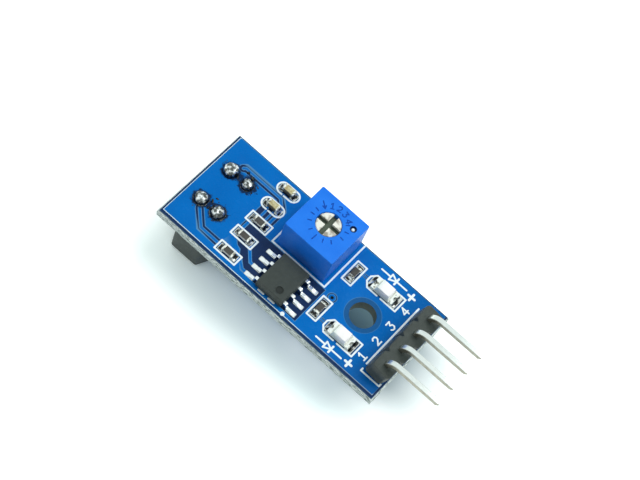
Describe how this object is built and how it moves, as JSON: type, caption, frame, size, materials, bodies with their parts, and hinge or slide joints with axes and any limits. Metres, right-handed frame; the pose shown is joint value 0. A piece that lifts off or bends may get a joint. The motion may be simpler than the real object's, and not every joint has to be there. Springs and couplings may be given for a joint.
{
  "type": "infrared reflective sensor module",
  "caption": "Small circuit board with a downward infrared reflective sensor, a screwdriver-set trimmer and a right-angle pin header, screwed down through one hole.",
  "frame": {"origin": "centre of the mounting hole on the board's top face", "axes": "+X along the board towards the pin header, +Y across the board towards the trimmer's side, +Z out of the component side"},
  "size_m": [0.038, 0.0142, 0.0144],
  "materials": {
    "board_mask": "blue solder mask over glass-fibre laminate",
    "tinned_copper": "tinned copper, bright",
    "legend_ink": "white printed ink",
    "black_moulding": "fine matte moulding",
    "clear_lens": "clear bluish epoxy, polished",
    "dark_lens": "black infrared-passing epoxy, polished",
    "solder": "bright solder",
    "lead_metal": "tin-plated lead wire",
    "blue_moulding": "blue moulded case, fine matte",
    "rotor_metal": "plated rotor, satin",
    "wiper_metal": "spring alloy",
    "ceramic_white": "white ceramic",
    "potting_resin": "potting resin",
    "resistor_coat": "black glaze on white ceramic",
    "capacitor_ceramic": "tan ceramic",
    "led_base_white": "pale laminate base",
    "led_lens_clear": "milky clear resin",
    "pin_gold": "plated square pin"
  },
  "bodies": {
    "module": {"circuit_board": "board_mask", "board_pads": "tinned_copper", "legend_print": "legend_ink", "sensor_housing": "black_moulding", "infrared_emitter": "clear_lens", "infrared_detector": "dark_lens", "emitter_lead_1": "lead_metal", "emitter_lead_2": "lead_metal", "detector_lead_1": "lead_metal", "detector_lead_2": "lead_metal", "sensor_solder": "solder", "comparator_body": "black_moulding", "comparator_lead_1": "lead_metal", "comparator_lead_2": "lead_metal", "comparator_lead_3": "lead_metal", "comparator_lead_4": "lead_metal", "comparator_lead_5": "lead_metal", "comparator_lead_6": "lead_metal", "comparator_lead_7": "lead_metal", "comparator_lead_8": "lead_metal", "comparator_solder": "solder", "trimmer_housing": "blue_moulding", "trimmer_substrate": "ceramic_white", "trimmer_potting": "potting_resin", "trimmer_pin_1": "lead_metal", "trimmer_pin_2": "lead_metal", "trimmer_pin_3": "lead_metal", "trimmer_solder": "solder", "header_body": "black_moulding", "header_pin_1": "pin_gold", "header_pin_2": "pin_gold", "header_pin_3": "pin_gold", "header_pin_4": "pin_gold", "header_solder": "solder", "resistor_1_body": "resistor_coat", "resistor_1_ends": "tinned_copper", "resistor_2_body": "resistor_coat", "resistor_2_ends": "tinned_copper", "resistor_3_body": "resistor_coat", "resistor_3_ends": "tinned_copper", "resistor_4_body": "resistor_coat", "resistor_4_ends": "tinned_copper", "resistor_5_body": "resistor_coat", "resistor_5_ends": "tinned_copper", "capacitor_1_body": "capacitor_ceramic", "capacitor_1_ends": "tinned_copper", "capacitor_2_body": "capacitor_ceramic", "capacitor_2_ends": "tinned_copper", "led_1_base": "led_base_white", "led_1_lens": "led_lens_clear", "led_1_ends": "tinned_copper", "led_2_base": "led_base_white", "led_2_lens": "led_lens_clear", "led_2_ends": "tinned_copper", "chip_solder": "solder"},
    "rotor": {"trimmer_rotor": "rotor_metal", "trimmer_wiper": "wiper_metal"}
  },
  "joints": [
    {"name": "trimmer_turn", "type": "hinge", "parent": "module", "child": "rotor", "pos_m": [-0.00923, 0.00324, 0.00492], "axis": [0, 0, 1], "range_deg": [-130, 130]}
  ]
}
